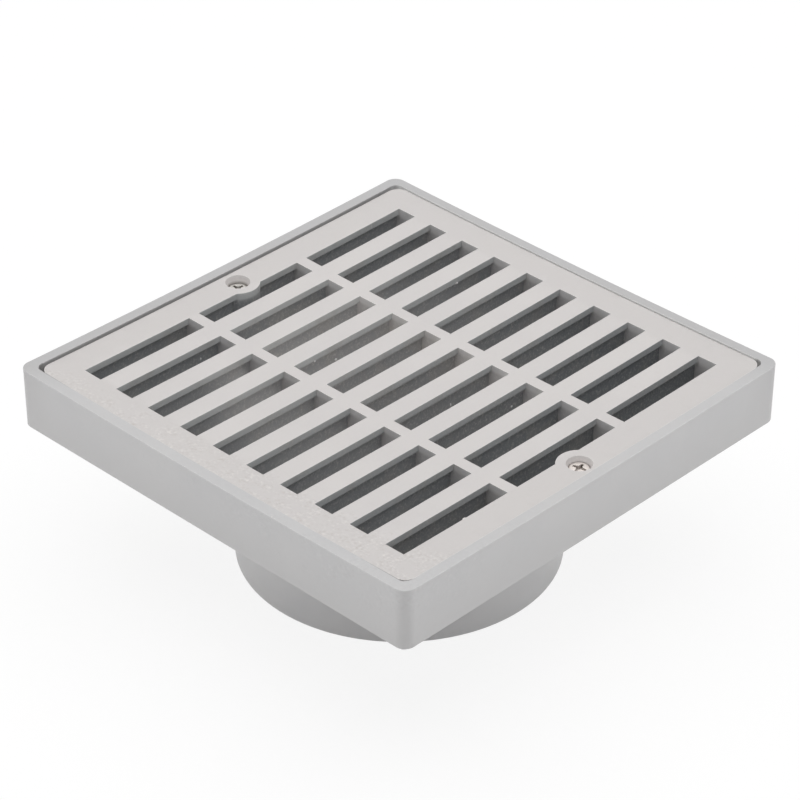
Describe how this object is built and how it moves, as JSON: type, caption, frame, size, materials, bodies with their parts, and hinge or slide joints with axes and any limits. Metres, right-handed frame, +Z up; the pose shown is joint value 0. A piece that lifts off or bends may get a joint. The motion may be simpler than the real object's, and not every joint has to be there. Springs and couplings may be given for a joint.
{
  "type": "square floor drain with slotted grate",
  "caption": "Square floor drain: a slotted grate screwed into a shallow square frame whose funnel floor leads to a round pipe spigot.",
  "frame": {"origin": "centre of the spigot's lower end face, under the middle of the square frame", "axes": "+Z up along the spigot's axis through the middle of the grate; +Y along the slots; +X across the slots, towards the right screw"},
  "size_m": [0.181, 0.181, 0.0734],
  "materials": {
    "body_plastic": "moulded light grey PVC, satin",
    "grate_plastic": "moulded light grey PVC, satin, lightly scuffed",
    "screw_steel": "bright stainless steel"
  },
  "bodies": {
    "root": {"drain_body": "body_plastic", "grate": "grate_plastic", "screw_left": "screw_steel", "screw_right": "screw_steel"}
  },
  "joints": []
}
